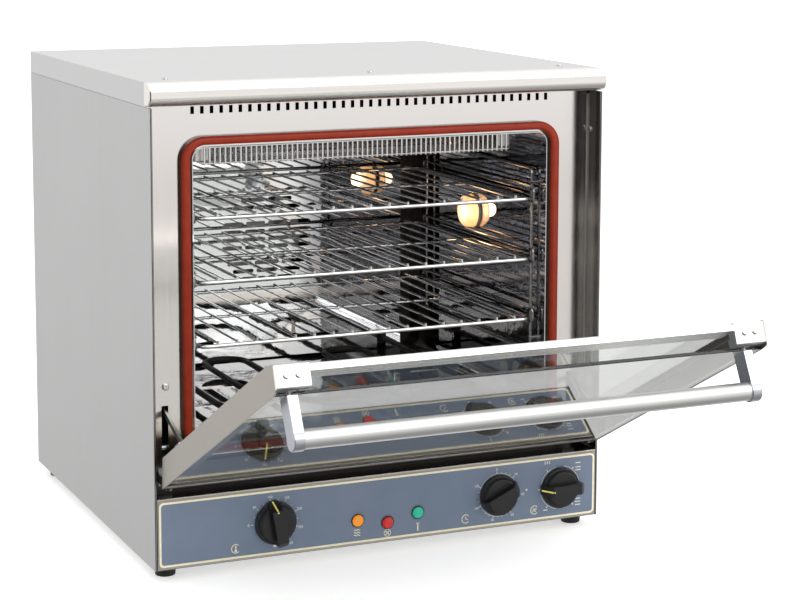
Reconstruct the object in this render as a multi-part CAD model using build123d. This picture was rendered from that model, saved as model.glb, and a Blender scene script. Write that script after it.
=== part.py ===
from build123d import *
import math
import os

os.makedirs("parts", exist_ok=True)

# Countertop convection oven with a drop-down door. All lengths in mm.
# Modelling frame: X to the right, Y from the front edge of the side panels into
# the oven, Z up from the counter. Every piece is shifted back by half the body
# depth when it is written, so the written origin is the middle of the footprint
# on the plane of the feet.

# ---- driving dimensions -------------------------------------------------------
W = 595.0  # body width
D = 548.0  # body depth without door and handle
H = 594.0  # height over the feet
FOOT_H = 14.5  # height of a foot
T = 1.2  # steel sheet
HW = W / 2

PANEL_TOP = 101.4  # top of the control housing
RECESS = 36.0  # front frame behind the front edges of the side panels
SEAM_Z = 565.0  # joint between lid skirt and side panels
HEM_X = 3.2  # folded front edge of a side panel
HEM_Y = 10.0

CAV_X = 235.0  # half width of the cavity
CAV_Z0, CAV_Z1 = 162.0, 512.0
CAV_FRONT, CAV_REAR = 32.5, 455.0
CAV_R = 13.0
BAFFLE_Y = 420.0
BAFFLE_X = 204.0

SEAL_IN, SEAL_W, SEAL_PROUD = 239.3, 12.0, 10.7

VENT_N, VENT_PITCH, VENT_W, VENT_Z0, VENT_Z1 = 40, 12.03, 4.6, 553.0, 562.0
HINGE_X = 272.0
SLOT_W, SLOT_Z0, SLOT_Z1 = 8.4, 146.0, 205.0

KNOB_X = (-146.4, 155.0, 242.5)
KNOB_Z = 57.0
KNOB_R = 26.2
LAMPS = {"amber": (-38.5, 46.5), "red": (1.5, 39.5), "green": (42.5, 47.5)}

FAN_Z = 333.0
LAMP_Y, LAMP_Z = 243.0, 383.0

RACK_Z = (269.0, 347.0, 425.0)
RACK_HX, RACK_Y0, RACK_Y1 = 221.5, 50.0, 390.0
RACK_R, ROD_R, ROD_PITCH = 2.5, 1.5, 25.0
GUIDE_X, GUIDE_R, LOOP_X = 223.6, 1.75, 228.4
POST_X, POST_R = 229.5, 2.0

DOOR_ANGLE = 62.7  # door as shown, from closed
DOOR_Y, DOOR_Z = -8.0, 124.0  # outer bottom corner of the closed door
PIVOT_Y, PIVOT_Z = -4.0, 117.5
DOOR_HX = 291.5
DOOR_T = 33.0
HANDLE_S, HANDLE_T, TUBE_R = 409.0, -44.0, 10.5
ARM_X0, ARM_X1 = 265.0, 277.0
LINK_S, LINK_T = 46.0, 38.0  # pivot of the hinge link on the door
LINK_ANGLE = 19.5  # link above horizontal


# ---- helpers ------------------------------------------------------------------
def box(x0, x1, y0, y1, z0, z1):
    return Pos((x0 + x1) / 2, (y0 + y1) / 2, (z0 + z1) / 2) * Box(
        abs(x1 - x0), abs(y1 - y0), abs(z1 - z0)
    )


def cyl_x(y, z, r, x0, x1):
    return Pos((x0 + x1) / 2, y, z) * Rot(0, 90, 0) * Cylinder(r, abs(x1 - x0))


def cyl_y(x, z, r, y0, y1):
    return Pos(x, (y0 + y1) / 2, z) * Rot(90, 0, 0) * Cylinder(r, abs(y1 - y0))


def cyl_z(x, y, r, z0, z1):
    return Pos(x, y, (z0 + z1) / 2) * Cylinder(r, abs(z1 - z0))


def rounded_y(hx, z0, z1, r, y0, y1):
    """Rounded rectangle, centred on X = 0, swept along Y."""
    pl = Plane(origin=(0, y0, (z0 + z1) / 2), x_dir=(1, 0, 0), z_dir=(0, 1, 0))
    return extrude(pl * RectangleRounded(2 * hx, z1 - z0, r), amount=y1 - y0)


def prism_x(points, x0, x1):
    """Polygon of (Y, Z) points swept from x0 to x1."""
    face = make_face(Polyline([(x0, y, z) for y, z in points], close=True))
    return extrude(face, amount=x1 - x0, dir=(1, 0, 0))


def tube(points, radii, r):
    """Round bar along straight runs joined by tangent arcs."""
    path = FilletPolyline(*points, radius=radii) if radii else Polyline(*points)
    start = Plane(origin=path @ 0, z_dir=path % 0)
    return sweep(start * Circle(r), path=path)


def loop(points, radius, r):
    """Closed round bar through the corners of a loop."""
    path = FilletPolyline(*points, radius=radius, close=True)
    start = Plane(origin=path @ 0, z_dir=path % 0)
    return sweep(start * Circle(r), path=path)


def mirror_x(shape):
    return mirror(shape, about=Plane.YZ)


def fuse(*shapes):
    """One solid from many bars, in one step."""
    return shapes[0].fuse(*shapes[1:])


def save(name, shape):
    solids = shape.solids()
    placed = [Pos(0, -D / 2, 0) * s for s in solids]
    out = placed[0] if len(placed) == 1 else Compound(children=placed)
    out.label = name
    export_step(out, f"parts/{name}.step")


def pan_screw(axis, x, y, z, r=3.6, head=2.0, shank=9.0, shank_r=1.9):
    """Pan-head cross-recess screw. axis: unit vector that the head points along."""
    body = Cylinder(r, head, align=(Align.CENTER, Align.CENTER, Align.MIN))
    body = fillet(body.edges().group_by(Axis.Z)[-1], head * 0.55)
    body += Pos(0, 0, -shank / 2) * Cylinder(shank_r, shank)
    body -= Pos(0, 0, head) * Box(r * 1.15, 0.8, 1.6)
    body -= Pos(0, 0, head) * Box(0.8, r * 1.15, 1.6)
    pl = Plane(origin=(x, y, z), z_dir=axis)
    return pl.location * body


# ---- base, feet and outer shells ----------------------------------------------
base = box(-281.2, 281.2, 24, D - 2, FOOT_H, FOOT_H + T)
for sx in (-1, 1):
    base += box(sx * 281.2, sx * (281.2 - T), 24, D - 2, FOOT_H, FOOT_H + 22)
base += box(-281.2, 281.2, D - 2 - T, D - 2, FOOT_H, FOOT_H + 22)
base += box(-281.2, 281.2, 24, 24 + T, FOOT_H, FOOT_H + 12)
for gx in (-150, 150):
    for i in range(9):
        base -= box(gx - 60, gx + 60, 180 + i * 22, 184.5 + i * 22, FOOT_H - 1, FOOT_H + 3)
for sx in (-1, 1):
    for fy in (31, D - 30):
        base -= cyl_z(sx * 275.5, fy, 3.2, FOOT_H - 1, FOOT_H + 3)
save("base_pan", base)

feet = []
for sx in (-1, 1):
    for fy in (31, D - 30):
        foot = Cone(12.2, 13.2, FOOT_H, align=(Align.CENTER, Align.CENTER, Align.MIN))
        foot = fillet(foot.edges().group_by(Axis.Z)[0], 1.6)
        foot = fillet(foot.edges().group_by(Axis.Z)[-1], 1.6)
        foot += Pos(0, 0, FOOT_H + 4) * Cylinder(3.0, 10)
        feet.append(Pos(sx * 275.5, fy, 0) * foot)
save("feet", Compound(children=feet))

side = box(HW - T, HW, 0.8, D, FOOT_H, SEAM_Z - 0.4)
hem = box(HW - HEM_X, HW, 0, HEM_Y, FOOT_H, SEAM_Z - 0.4)
hem = fillet(hem.edges().filter_by(Axis.Z).group_by(Axis.Y)[0], 1.5)
side += hem
side += box(HW - 15.5, HW, 40, D, FOOT_H, FOOT_H + T)
side += box(HW - 13, HW, 40, D - 3.4, SEAM_Z - 1.6, SEAM_Z - 0.4)
for sz in (190.0, 514.0):
    side -= cyl_x(29, sz, 2.1, HW - 10, HW - 0.4)
save("side_panel_right", side)
save("side_panel_left", mirror_x(side))

rear = box(-HW + T + 0.1, HW - T - 0.1, D - T, D, FOOT_H + T + 0.1, SEAM_Z - 0.4)
rear -= box(-HW, -281, D - 3, D + 1, FOOT_H, FOOT_H + T + 0.2)
for i in range(12):
    for gx in (-150, 0, 150):
        z = 250 + i * 16
        rear -= box(gx - 50, gx + 50, D - 3, D + 1, z, z + 4.5)
GLAND_X, GLAND_Z = -215.0, 58.0
rear -= cyl_y(GLAND_X, GLAND_Z, 8.2, D - 3, D + 1)
REAR_SCREWS = [(sx * 288.5, z) for sx in (-1, 1) for z in (60, 300, 540)]
for x, z in REAR_SCREWS:
    rear -= cyl_y(x, z, 2.0, D - 3, D + 1)
save("rear_panel", rear)

LID_Y0 = 14.0
lid = box(-HW, HW, LID_Y0 + 0.3, D, H - T, H)
for sx in (-1, 1):
    lid += box(sx * HW, sx * (HW - T), 2.0, LID_Y0 + 2, SEAM_Z + 2.8, H - 2.6)
    lid += box(sx * HW, sx * (HW - T), LID_Y0 + 0.3, D, SEAM_Z, H)
lid += box(-HW, HW, D - T, D, SEAM_Z, H)
top_edges = lid.edges().filter_by(Axis.Y).group_by(Axis.Z)[-1]
lid = fillet([g for g in top_edges if abs(abs(g.center().X) - HW) < 0.05], 1.0)
LID_SCREWS = [(-262.0, 52.0), (0.0, 52.0), (262.0, 52.0)]
for x, y in LID_SCREWS:
    lid -= cyl_z(x, y, 2.0, H - 3, H + 1)
save("top_cover", lid)

# Front nosing of the lid: a rounded trim, open at its back.
NOSE_HX, NOSE_Y = HW + 2.2, -6.5
nose = box(-NOSE_HX, NOSE_HX, NOSE_Y, LID_Y0, SEAM_Z + 1.2, H)
nose = fillet(nose.edges().filter_by(Axis.X).group_by(Axis.Y)[0], 10.5)
nose = fillet(
    [e for e in nose.edges() if e.center().Y < LID_Y0 - 1.0 and abs(abs(e.center().X) - NOSE_HX) < 0.01],
    2.6,
)
inner = box(-NOSE_HX + T, NOSE_HX - T, NOSE_Y + T, LID_Y0 + 5, SEAM_Z + 1.2 + T, H - T)
inner = fillet(inner.edges().filter_by(Axis.X).group_by(Axis.Y)[0], 9.3)
nose -= inner
nose += box(-HW + 20, HW - 20, LID_Y0 - 4, LID_Y0 + 0.2, H - 2 * T, H - T)
save("top_nosing", nose)


# ---- front frame and control housing ------------------------------------------
FRAME_HX = HW - HEM_X - 0.3
frame = box(-FRAME_HX, FRAME_HX, RECESS, RECESS + T, PANEL_TOP + 0.2, H - 4)
frame -= rounded_y(CAV_X + T + 0.3, CAV_Z0 - T - 0.3, CAV_Z1 + T + 0.3, CAV_R + T + 0.3, RECESS - 1, RECESS + 3)
for sx in (-1, 1):
    frame += box(sx * FRAME_HX, sx * (FRAME_HX - T), RECESS, RECESS + 16, PANEL_TOP + 0.2, SEAM_Z - 5.0)
    frame -= box(
        sx * HINGE_X - SLOT_W / 2, sx * HINGE_X + SLOT_W / 2, RECESS - 1, RECESS + 3, SLOT_Z0, SLOT_Z1
    )
v0 = -(VENT_N - 1) * VENT_PITCH / 2 + 0.3
vents = Compound(
    children=[
        box(
            v0 + i * VENT_PITCH - VENT_W / 2,
            v0 + i * VENT_PITCH + VENT_W / 2,
            RECESS - 1,
            RECESS + 3,
            VENT_Z0,
            VENT_Z1,
        )
        for i in range(VENT_N)
    ]
)
frame -= vents
FRONT_SCREWS = [(sx * 271.0, z) for sx in (-1, 1) for z in (228.0, 119.0)]
for x, z in FRONT_SCREWS:
    frame -= cyl_y(x, z, 2.1, RECESS - 1, RECESS + 3)
save("front_frame", frame)

housing = box(-294, 294, 0, T, FOOT_H, PANEL_TOP)
housing += box(-294, 294, 0, RECESS + 4, PANEL_TOP - T, PANEL_TOP)
housing += box(-294, 294, 0, 22, FOOT_H, FOOT_H + T)
housing = fillet(
    [
        e
        for e in housing.edges().filter_by(Axis.X)
        if abs(e.center().Y) < 0.01 and (abs(e.center().Z - PANEL_TOP) < 0.01 or abs(e.center().Z - FOOT_H) < 0.01)
    ],
    1.0,
)
for x in KNOB_X:
    housing -= cyl_y(x, KNOB_Z, 5.0, -1, 3)
for x, z in LAMPS.values():
    housing -= cyl_y(x, z, 5.3, -1, 3)
save("control_housing", housing)

fascia = rounded_y(292.6, 17.2, 98.8, 4.0, -0.7, -0.02)
for x in KNOB_X:
    fascia -= cyl_y(x, KNOB_Z, 5.0, -2, 3)
for x, z in LAMPS.values():
    fascia -= cyl_y(x, z, 5.3, -2, 3)
save("fascia_plate", fascia)

screws = [
    pan_screw((0, -1, 0), x, RECESS - (0.05 if z > 200 else 1.65), z, r=4.3, head=2.6)
    for x, z in FRONT_SCREWS
]
screws += [pan_screw((-1, 0, 0), HW - T - 0.05, 29, z, r=3.4, head=1.9, shank=0.7, shank_r=1.8) for z in (190.0, 514.0)]
screws += [pan_screw((1, 0, 0), -HW + T + 0.05, 29, z, r=3.4, head=1.9, shank=0.7, shank_r=1.8) for z in (190.0, 514.0)]
save("front_screws", Compound(children=screws))
case_screws = [pan_screw((0, 0, 1), x, y, H + 0.05, r=3.6, head=1.9) for x, y in LID_SCREWS]
case_screws += [pan_screw((0, 1, 0), x, D + 0.05, z, r=3.6, head=1.9) for x, z in REAR_SCREWS]
save("case_screws", Compound(children=case_screws))

# ---- cavity -------------------------------------------------------------------
shell = rounded_y(CAV_X + T, CAV_Z0 - T, CAV_Z1 + T, CAV_R + T, CAV_FRONT, CAV_REAR)
shell -= rounded_y(CAV_X, CAV_Z0, CAV_Z1, CAV_R, CAV_FRONT - 1, CAV_REAR + 1)
shell -= cyl_x(LAMP_Y, LAMP_Z, 19.5, CAV_X - 3, CAV_X + 5)
save("cavity_shell", shell)

back = rounded_y(CAV_X + T, CAV_Z0 - T, CAV_Z1 + T, CAV_R + T, CAV_REAR + 0.05, CAV_REAR + T)
back -= cyl_y(0, FAN_Z, 9.0, CAV_REAR - 1, CAV_REAR + 3)
for x in (-14.0, 14.0):
    back -= cyl_y(x, FAN_Z + 81.0, 4.4, CAV_REAR - 1, CAV_REAR + 3)
for x in (-175.0, 175.0):
    back -= cyl_y(x, 178.0, 4.6, CAV_REAR - 1, CAV_REAR + 3)
save("cavity_rear_wall", back)

# Air baffle in front of the fan: the visible rear wall with its slotted inlet.
baffle = rounded_y(BAFFLE_X, CAV_Z0 + 2.0, CAV_Z1 - 5.0, 6.0, BAFFLE_Y, BAFFLE_Y + T)
for x in (-175.0, 175.0):
    baffle -= box(x - 7.0, x + 7.0, BAFFLE_Y - 1, BAFFLE_Y + 3, CAV_Z0 + 0.0, 186.0)
SLOT_H, ROW, SLOT_GAP, SLOT_PITCH, INLET_R = 5.8, 11.08, 4.4, 34.6, 67.0
slots = []
for i in range(-5, 6):
    z = i * ROW
    half = math.sqrt(INLET_R**2 - z**2)
    n = round((2 * half + SLOT_GAP) / SLOT_PITCH)
    length = (2 * half - (n - 1) * SLOT_GAP) / n
    for j in range(n):
        x = -half + length / 2 + j * (length + SLOT_GAP)
        pl = Plane(origin=(x, BAFFLE_Y - 1, FAN_Z + z), x_dir=(1, 0, 0), z_dir=(0, 1, 0))
        slots.append(extrude(pl * SlotOverall(length, SLOT_H), amount=T + 2))
baffle -= Compound(children=slots)
STANDOFFS = [(sx * 185.0, z) for sx in (-1, 1) for z in (205.0, 487.0)]
for x, z in STANDOFFS:
    baffle -= cyl_y(x, z, 2.2, BAFFLE_Y - 1, BAFFLE_Y + 3)
save("air_baffle", baffle)
# four screws, each through a spacer bush into the rear wall
fasteners = []
for x, z in STANDOFFS:
    fasteners.append(pan_screw((0, -1, 0), x, BAFFLE_Y - 0.05, z, r=4.2, head=2.4, shank=10))
    fasteners.append(
        cyl_y(x, z, 5.0, BAFFLE_Y + T + 0.03, CAV_REAR) - cyl_y(x, z, 2.2, BAFFLE_Y, CAV_REAR + 1)
    )
save("baffle_fasteners", Compound(children=fasteners))

wool = rounded_y(259.0, 138.0, 537.0, 26.0, 46.0, CAV_REAR - 4)
wool -= rounded_y(CAV_X + T + 0.4, CAV_Z0 - T - 0.4, CAV_Z1 + T + 0.4, CAV_R + T + 0.4, 40, CAV_REAR)
wool -= cyl_x(LAMP_Y, LAMP_Z, 24.0, CAV_X, 262)
save("insulation_blanket", wool)

# Door seal: hollow-bulb silicone ring round the cavity mouth.
s_out = SEAL_IN + SEAL_W
seal = rounded_y(s_out, CAV_Z0 - (s_out - CAV_X) + 1.6, CAV_Z1 + (s_out - CAV_X) - 1.6, 29.8, RECESS - SEAL_PROUD, RECESS - 0.05)
seal -= rounded_y(SEAL_IN, CAV_Z0 - (SEAL_IN - CAV_X), CAV_Z1 + (SEAL_IN - CAV_X), 18.6, RECESS - 20, RECESS + 1)
front_edges = [e for e in seal.edges() if abs(e.center().Y - (RECESS - SEAL_PROUD)) < 0.01]
seal = fillet(front_edges, 4.6)
save("door_seal", seal)

# ---- heating ------------------------------------------------------------------
QY0, QY1, QX = 84.0, 172.0, 207.0
tubes = []
for y in (106.0, 150.0):
    q = cyl_x(y, 499.5, 5.5, -196, 196)
    q -= cyl_x(y, 499.5, 4.2, -194.5, 194.5)
    tubes.append(q)
save("quartz_tubes", Compound(children=tubes))
holders = []
for sx in (-1, 1):
    h = box(sx * 196.2, sx * 212.0, 92, 164, 489.5, 511.6)
    h = fillet(h.edges().filter_by(Axis.Y), 1.5)
    holders.append(h)
save("quartz_end_holders", Compound(children=holders))

rails = [
    cyl_x(QY0, 508.6, 1.2, -QX, QX),
    cyl_x(QY0, 487.0, 1.2, -QX, QX),
    cyl_x((QY0 + QY1) / 2, 484.9, 1.2, -QX, QX),
    cyl_x(QY1, 487.0, 1.2, -QX, QX),
    cyl_x(QY1, 508.6, 1.2, -QX, QX),
]
rib_n = 62
ribs = []
for i in range(rib_n):
    x = -QX + 3.4 + i * (2 * QX - 6.8) / (rib_n - 1)
    rib = [
        (QY0 - 0.9, 509.6),
        (QY0 - 0.9, 484.9),
        (QY1 + 0.9, 484.9),
        (QY1 + 0.9, 509.6),
        (QY1 - 0.9, 509.6),
        (QY1 - 0.9, 486.7),
        (QY0 + 0.9, 486.7),
        (QY0 + 0.9, 509.6),
    ]
    ribs.append(prism_x(rib, x - 0.9, x + 0.9))
save("quartz_guard", fuse(*rails, *ribs))

EL_Z, EL_R = 178.0, 4.0
pts = [
    (-175, CAV_REAR + 16, EL_Z),
    (-175, 96, EL_Z),
    (-117, 96, EL_Z),
    (-117, 372, EL_Z),
    (-58, 372, EL_Z),
    (-58, 96, EL_Z),
    (58, 96, EL_Z),
    (58, 372, EL_Z),
    (117, 372, EL_Z),
    (117, 96, EL_Z),
    (175, 96, EL_Z),
    (175, CAV_REAR + 16, EL_Z),
]
save("bottom_heating_element", tube(pts, [28, 28, 28.5, 28.5, 50, 50, 28.5, 28.5, 28, 28], EL_R))
clips = [
    box(x - 36, x + 36, 228, 240, EL_Z - EL_R - 1.3, EL_Z - EL_R - 0.1)
    + box(x - 36, x - 34.8, 228, 240, CAV_Z0 + 0.05, EL_Z - EL_R - 0.1)
    + box(x + 34.8, x + 36, 228, 240, CAV_Z0 + 0.05, EL_Z - EL_R - 0.1)
    for x in (-146.0, 146.0)
]
save("element_supports", Compound(children=clips))

ring = Pos(0, 438, FAN_Z) * Rot(90, 0, 0) * Torus(82.0, EL_R)
for x in (-14.0, 14.0):
    ring += cyl_y(x, FAN_Z + 81.0, EL_R, 438, CAV_REAR + 18)
save("ring_heating_element", ring)

# ---- fan ----------------------------------------------------------------------
motor = cyl_y(0, FAN_Z, 39.0, 466, 528)
motor = fillet(motor.edges().filter_by(GeomType.CIRCLE), 4.0)
motor += cyl_y(0, FAN_Z, 14.0, 460, 535)
for a in (45, 135, 225, 315):
    x = 44 * math.cos(math.radians(a))
    z = FAN_Z + 44 * math.sin(math.radians(a))
    motor += cyl_y(x, z, 4.0, CAV_REAR + T + 0.1, 490)
    motor += cyl_y(x * 0.86, FAN_Z + (z - FAN_Z) * 0.86, 5.5, 484, 490)
motor -= cyl_y(0, FAN_Z, 4.05, 455, 512)
save("fan_motor", motor)

shaft = cyl_y(0, FAN_Z, 4.0, 431.0, 508)
save("fan_shaft", shaft)
imp = cyl_y(0, FAN_Z, 60.0, 447.0, 448.2) + cyl_y(0, FAN_Z, 9.0, 432, 447.5)
for i in range(10):
    a = 36 * i
    blade = Pos(41.5, 438.8, 0) * Box(35.0, 16.8, 1.2)
    imp += Pos(0, 0, FAN_Z) * Rot(0, a, 0) * blade
imp -= cyl_y(0, FAN_Z, 4.0, 425, 452)
save("fan_impeller", imp)

# ---- interior lamp on the right wall ------------------------------------------
holder = cyl_x(LAMP_Y, LAMP_Z, 19.0, CAV_X - 1.0, CAV_X + 34)
holder += cyl_x(LAMP_Y, LAMP_Z, 23.0, CAV_X - 3.0, CAV_X - 0.15)
holder -= cyl_x(LAMP_Y, LAMP_Z, 17.0, CAV_X - 4.0, CAV_X + 26)
holder += cyl_x(LAMP_Y, LAMP_Z, 9.0, CAV_X + 20, CAV_X + 30)
holder -= cyl_x(LAMP_Y, LAMP_Z, 6.8, CAV_X + 8, CAV_X + 28)
save("lamp_holder", holder)
globe = cyl_x(LAMP_Y, LAMP_Z, 22.0, CAV_X - 17.5, CAV_X - 3.2)
globe = fillet(globe.edges().group_by(Axis.X)[0], 9.0)
gi = cyl_x(LAMP_Y, LAMP_Z, 20.0, CAV_X - 15.5, CAV_X - 2)
gi = fillet(gi.edges().group_by(Axis.X)[0], 7.0)
globe -= gi
save("lamp_glass", globe)
bulb = cyl_x(LAMP_Y, LAMP_Z, 11.5, CAV_X - 10.5, CAV_X + 11.5)
bulb = fillet(bulb.edges().group_by(Axis.X)[0], 9.0)
bulb = fillet(bulb.edges().group_by(Axis.X)[-1], 5.0)
bulb += cyl_x(LAMP_Y, LAMP_Z, 6.4, CAV_X + 10.5, CAV_X + 27.5)
save("lamp_bulb", bulb)

# ---- rack guides and racks ----------------------------------------------------
def guide_right():
    posts_y = (61.0, 384.0)
    z_lo, z_hi = RACK_Z[0] - 45, RACK_Z[2] + 38
    g = []
    g.append(loop(
        [
            (POST_X, posts_y[0], z_lo),
            (POST_X, posts_y[1], z_lo),
            (POST_X, posts_y[1], z_hi),
            (POST_X, posts_y[0], z_hi),
        ],
        8.0,
        POST_R,
    ))
    for rz in RACK_Z:
        # runner: a lower and an upper wire, joined by an outward-bent loop at each end
        lo, hi = rz - RACK_R - 0.35 - GUIDE_R, rz + 11.5
        g.append(loop(
            [
                (LOOP_X, 53.0, lo),
                (GUIDE_X, 68.0, lo),
                (GUIDE_X, 378.0, lo),
                (LOOP_X, 392.0, lo),
                (LOOP_X, 392.0, hi),
                (GUIDE_X, 378.0, hi),
                (GUIDE_X, 68.0, hi),
                (LOOP_X, 53.0, hi),
            ],
            4.0,
            GUIDE_R,
        ))
        for py in posts_y:
            for zz in (lo, hi):
                g.append(cyl_x(py, zz, 1.5, GUIDE_X - 0.6, POST_X + 0.8))
    for py in posts_y:
        for zz in (z_lo + 18, z_hi - 18):
            g.append(cyl_x(py, zz, 2.6, POST_X - 3, CAV_X - 0.1))
    return fuse(*g)


gr = guide_right()
save("rack_guide_right", gr)
save("rack_guide_left", mirror_x(gr))


def rack(rz):
    fr = loop(
        [
            (-RACK_HX, RACK_Y0, rz),
            (RACK_HX, RACK_Y0, rz),
            (RACK_HX, RACK_Y1, rz),
            (-RACK_HX, RACK_Y1, rz),
        ],
        10.0,
        RACK_R,
    )
    bars = [fr, cyl_x((RACK_Y0 + RACK_Y1) / 2, rz, 2.0, -RACK_HX, RACK_HX)]
    zr = rz + RACK_R + ROD_R - 0.5
    for i in range(17):
        x = (i - 8) * ROD_PITCH
        rod = cyl_y(x, zr, ROD_R, RACK_Y0 - 2.2, RACK_Y1 + 2.2)
        bars.append(rod + cyl_z(x, RACK_Y0 - 1.0, ROD_R, zr - 0.5, zr + 2.6))
    return fuse(*bars)


for name, rz in zip(("bottom", "middle", "top"), RACK_Z):
    save(f"wire_rack_{name}", rack(rz))

# ---- controls -----------------------------------------------------------------
def device(x, w, h, depth, tabs):
    d = box(x - w / 2, x + w / 2, 7, 7 + depth, KNOB_Z - h / 2, KNOB_Z + h / 2)
    d = fillet(d.edges().filter_by(Axis.Y), 2.0)
    d += cyl_y(x, KNOB_Z, 9.0, T + 0.1, 8)
    d += box(x - 19, x + 19, 5.2, 7.2, KNOB_Z - 9, KNOB_Z + 9)
    for i in range(tabs):
        tx = x - w / 2 + 7 + i * (w - 14) / max(tabs - 1, 1)
        d += box(tx - 3, tx + 3, 7 + depth - 1, 7 + depth + 9, KNOB_Z + 6, KNOB_Z + 6.8)
    d -= cyl_y(x, KNOB_Z, 3.15, 0, 32)
    return d


save("thermostat", device(KNOB_X[0], 44, 42, 34, 3))
save("timer", device(KNOB_X[1], 48, 46, 40, 3))
save("selector_switch", device(KNOB_X[2], 40, 44, 44, 4))

# Thermostat feeler: bulb under the cavity top, capillary down the side.
probe = tube(
    [
        (-146.4, 42.5, 70.0),
        (-146.4, 90.0, 70.0),
        (-146.4, 90.0, 124.0),
        (-100.0, 470.0, 124.0),
        (-100.0, 470.0, 300.0),
    ],
    [12, 12, 12],
    1.2,
)
probe += cyl_z(-100, 470, 3.2, 295, 385)
save("thermostat_probe", probe)


def knob(x, angle):
    """Round knob with a raised grip bar. angle: bar turned from vertical, positive to the right."""
    k = Cylinder(KNOB_R, 5.0, align=(Align.CENTER, Align.CENTER, Align.MIN))
    k = fillet(k.edges().group_by(Axis.Z)[-1], 1.6)
    crown = Pos(0, 0, 4.0) * Cone(23.6, 21.6, 6.0, align=(Align.CENTER, Align.CENTER, Align.MIN))
    crown = fillet(crown.edges().group_by(Axis.Z)[-1], 1.8)
    k += crown
    # grip: 14 mm wide, sloping down past the rim at the pointer end
    prof = [(-27.0, 0.6), (28.0, 0.6), (28.0, 2.6), (18.8, 19.6), (-21.5, 19.6), (-27.0, 15.0)]
    grip = extrude(Plane.YZ * make_face(Polyline(*prof, prof[0])), 7.0, both=True)
    grip = fillet(grip.edges().filter_by(Axis.X).group_by(Axis.Z)[-1], 1.2)
    grip = fillet(grip.edges().filter_by(Axis.Z), 3.2)
    k += grip
    k += Cylinder(3.0, 26.0, align=(Align.CENTER, Align.CENTER, Align.MAX))
    # local +Z points out of the fascia (-Y), local +Y points up
    pl = Plane(origin=(x, -1.3, KNOB_Z), x_dir=(1, 0, 0), z_dir=(0, -1, 0))
    return pl.location * (Rot(0, 0, -angle) * k)


save("knob_thermostat", knob(KNOB_X[0], -10.0))
save("knob_timer", knob(KNOB_X[1], 66.0))
save("knob_selector", knob(KNOB_X[2], 269.0))

for colour, (x, z) in LAMPS.items():
    lens = Cylinder(7.3, 3.6, align=(Align.CENTER, Align.CENTER, Align.MIN))
    lens = fillet(lens.edges().group_by(Axis.Z)[-1], 2.6)
    lens += Cylinder(5.0, 22.0, align=(Align.CENTER, Align.CENTER, Align.MAX))
    pl = Plane(origin=(x, -0.75, z), x_dir=(1, 0, 0), z_dir=(0, -1, 0))
    save(f"pilot_lamp_{colour}", pl.location * lens)

# ---- wiring entry -------------------------------------------------------------
gland = cyl_y(GLAND_X, GLAND_Z, 8.0, D - 9, D + 4)
pl = Plane(origin=(GLAND_X, D + 0.05, GLAND_Z), x_dir=(1, 0, 0), z_dir=(0, 1, 0))
gland += extrude(pl * RegularPolygon(13.0, 6), amount=6)
gland += extrude(
    Plane(origin=(GLAND_X, D - T - 0.05, GLAND_Z), x_dir=(1, 0, 0), z_dir=(0, -1, 0)) * RegularPolygon(12.5, 6),
    amount=5,
)
dome = cyl_y(GLAND_X, GLAND_Z, 11.0, D + 5, D + 20)
dome = fillet(dome.edges().group_by(Axis.Y)[-1], 4.0)
gland += dome
gland -= cyl_y(GLAND_X, GLAND_Z, 4.6, D - 20, D + 30)
save("cable_gland", gland)

block = box(-240, -180, 476, 498, FOOT_H + T + 0.05, FOOT_H + T + 20)
for i in range(5):
    x = -232 + i * 11
    block -= cyl_z(x, 487, 2.4, FOOT_H + T + 9, FOOT_H + T + 25)
    block -= cyl_y(x, FOOT_H + T + 6, 2.0, 470, 484)
    block -= cyl_y(x, FOOT_H + T + 6, 2.0, 490, 505)
save("terminal_block", block)

# ---- hinge brackets inside, behind the slots ----------------------------------
BR_Y0, BR_Y1 = RECESS + T + 0.1, 140.0
br = box(HINGE_X - 7.5, HINGE_X - 6.0, BR_Y0, BR_Y1, 132, 236)
br += box(HINGE_X + 6.0, HINGE_X + 7.5, BR_Y0, BR_Y1, 132, 236)
br += box(HINGE_X - 7.5, HINGE_X + 7.5, BR_Y1 - 1.5, BR_Y1, 132, 236)
br += box(HINGE_X - 7.5, HINGE_X + 7.5, BR_Y0, BR_Y0 + 1.5, 212, 236)
br += box(HINGE_X - 7.5, HINGE_X + 7.5, BR_Y0, BR_Y0 + 1.5, 108, 138)
br -= cyl_y(HINGE_X - 1, 228, 2.05, RECESS, RECESS + 6)
br -= cyl_y(HINGE_X - 1, 119, 2.05, RECESS, RECESS + 6)
br += cyl_x(45.0, 152.0, 4.0, HINGE_X - 6.5, HINGE_X + 6.5)
# pivot arm in front of the frame, with the pin that the door turns on
ARM_P0, ARM_P1 = 278.5, 281.5
pivot = box(ARM_P0, ARM_P1, PIVOT_Y, RECESS - 0.1, PIVOT_Z - 5.5, PIVOT_Z + 5.5)
pivot += cyl_x(PIVOT_Y, PIVOT_Z, 5.5, ARM_P0, ARM_P1)
pivot += box(264.5, ARM_P1, RECESS - 1.6, RECESS - 0.1, 108, 130)
pivot += cyl_x(PIVOT_Y, PIVOT_Z, 3.0, ARM_P1 - 1, 287.4)
pivot -= cyl_y(271.0, 119.0, 2.1, RECESS - 4, RECESS + 2)
save("hinge_brackets", Compound(children=[br, mirror_x(br), pivot, mirror_x(pivot)]))

# ---- door ---------------------------------------------------------------------
def dp(s, t):
    return (DOOR_Y + t, DOOR_Z + s)


def dbox(x0, x1, s0, s1, t0, t1):
    return box(x0, x1, DOOR_Y + t0, DOOR_Y + t1, DOOR_Z + s0, DOOR_Z + s1)


def dprism(points, x0, x1):
    return prism_x([dp(s, t) for s, t in points], x0, x1)


def dcyl_t(x, s, r, t0, t1):
    return cyl_y(x, DOOR_Z + s, r, DOOR_Y + t0, DOOR_Y + t1)


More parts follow.
